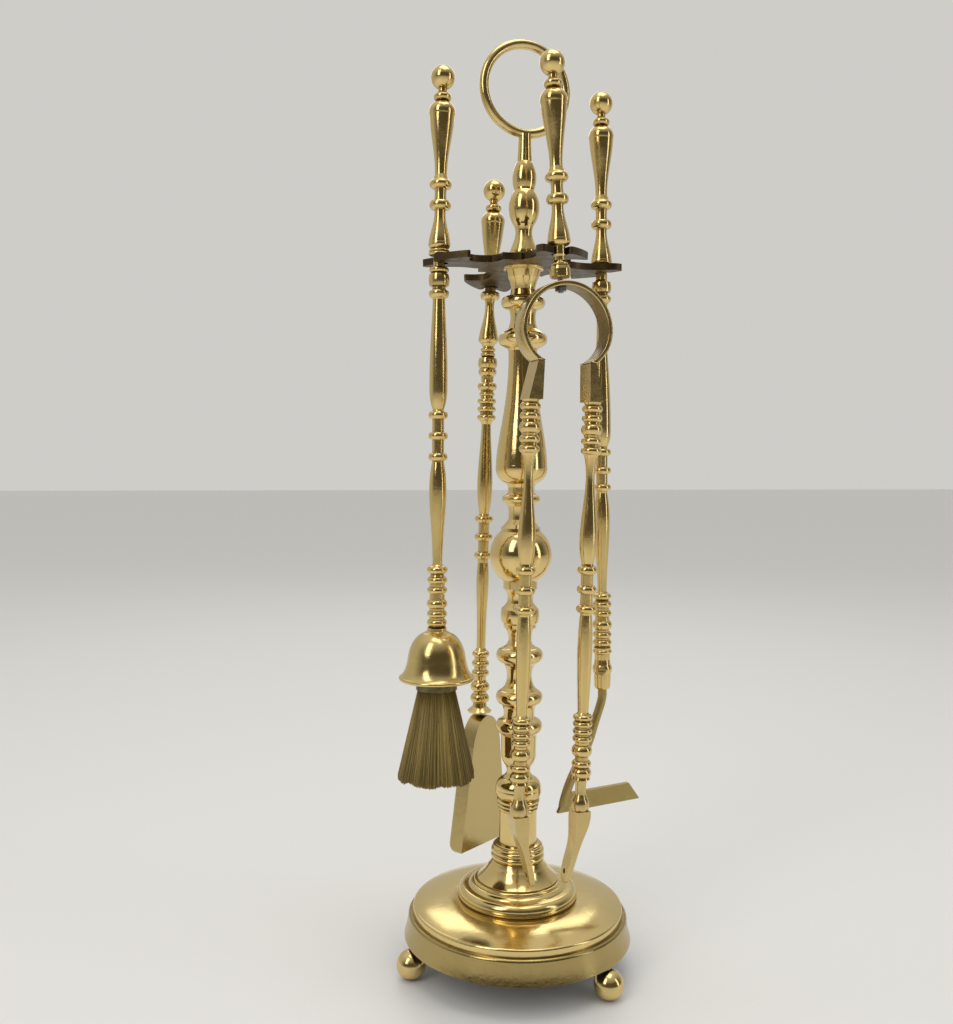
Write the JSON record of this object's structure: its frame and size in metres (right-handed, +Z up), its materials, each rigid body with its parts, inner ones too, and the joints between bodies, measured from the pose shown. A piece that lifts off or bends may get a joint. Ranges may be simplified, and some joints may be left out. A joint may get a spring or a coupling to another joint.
{
  "type": "fireplace tool set",
  "caption": "Turned brass fireplace companion set: weighted round base, turned column, ring handle and a hooked rack carrying brush, shovel, poker and tongs.",
  "frame": {"origin": "on the floor, on the column's axis", "axes": "+Z up the column; the poker hangs at +X, the brush at -X, the tongs at -Y (front) and the shovel at +Y; the ring handle lies in the XZ plane"},
  "size_m": [0.2166, 0.1892, 0.76],
  "materials": {
    "base_brass": "spun and polished, lightly rubbed",
    "column_brass": "turned and polished, bright",
    "ring_brass": "polished round bar",
    "tool_brass": "turned and polished, dull in the grooves",
    "strap_brass": "rolled strap, rubbed",
    "rack_brass": "cast plate, tarnished brown",
    "bell_brass": "spun, slightly tarnished",
    "hook_brass": "tarnished, stained by heat",
    "pan_brass": "pressed sheet, tarnished",
    "ferrule": "dull plated band",
    "bristle": "straw-coloured fibre",
    "block_wood": "plain turned wood",
    "iron": "rough casting",
    "steel": "plain threaded rod"
  },
  "bodies": {
    "stand": {"base_rim": "base_brass", "base_plate": "base_brass", "base_weight": "iron", "foot_left": "base_brass", "foot_rear_right": "base_brass", "foot_front_right": "base_brass", "foot_studs": "steel", "plinth": "base_brass", "column_bell": "column_brass", "column_drum": "column_brass", "column_vase": "column_brass", "column_spool": "column_brass", "column_collar": "column_brass", "column_ball": "column_brass", "column_ring": "column_brass", "column_pear": "column_brass", "column_upper_collar": "column_brass", "rack_cup": "column_brass", "rack": "rack_brass", "finial": "column_brass", "ring_handle": "ring_brass", "tie_rod": "steel", "tie_nut": "steel", "tie_washer": "steel"},
    "brush": {"brush_grip": "tool_brass", "brush_upper_shaft": "tool_brass", "brush_lower_shaft": "tool_brass", "brush_bell": "bell_brass", "brush_block": "block_wood", "brush_ferrule": "ferrule", "brush_bristles": "bristle", "brush_studs": "steel"},
    "poker": {"poker_grip": "tool_brass", "poker_upper_shaft": "tool_brass", "poker_lower_shaft": "tool_brass", "poker_socket": "tool_brass", "poker_screw": "hook_brass", "poker_hook": "hook_brass", "poker_studs": "steel"},
    "shovel": {"shovel_grip": "tool_brass", "shovel_upper_shaft": "tool_brass", "shovel_lower_shaft": "tool_brass", "shovel_pan": "pan_brass", "pan_rivet": "steel", "shovel_studs": "steel"},
    "tongs": {"tongs_grip": "tool_brass", "tongs_spool": "tool_brass", "tongs_studs": "steel", "bow_nut": "steel", "tongs_bow": "strap_brass"},
    "tongs_leg_left": {"tongs_socket_left": "strap_brass", "tongs_upper_leg_left": "tool_brass", "tongs_lower_leg_left": "tool_brass", "tongs_paddle_left": "strap_brass", "tongs_studs_left": "steel"},
    "tongs_leg_right": {"tongs_socket_right": "strap_brass", "tongs_upper_leg_right": "tool_brass", "tongs_lower_leg_right": "tool_brass", "tongs_paddle_right": "strap_brass", "tongs_studs_right": "steel"}
  },
  "joints": [
    {"name": "brush_lift_off", "type": "slide", "parent": "stand", "child": "brush", "axis": [-0.9903, 0, 0.1392], "range_m": [0, 0.12]},
    {"name": "poker_lift_off", "type": "slide", "parent": "stand", "child": "poker", "axis": [0.9903, 0, 0.1392], "range_m": [0, 0.12]},
    {"name": "shovel_lift_off", "type": "slide", "parent": "stand", "child": "shovel", "axis": [0, 0.9903, 0.1392], "range_m": [0, 0.12]},
    {"name": "tongs_lift_off", "type": "slide", "parent": "stand", "child": "tongs", "axis": [0, -0.9903, 0.1392], "range_m": [0, 0.12]},
    {"name": "tongs_squeeze_left", "type": "hinge", "parent": "tongs", "child": "tongs_leg_left", "pos_m": [0.0053, -0.0719, 0.5515], "axis": [0, -1, 0], "range_deg": [0, 1.45], "stiffness_Nm_per_rad": 150, "deforming": ["tongs_bow"]},
    {"name": "tongs_squeeze_right", "type": "hinge", "parent": "tongs", "child": "tongs_leg_right", "pos_m": [0.0053, -0.0719, 0.5515], "axis": [0, 1, 0], "range_deg": [0, 1.45], "stiffness_Nm_per_rad": 150}
  ],
  "couplings": [
    {"joint": "tongs_squeeze_right", "follows": "tongs_squeeze_left", "ratio": 1}
  ]
}
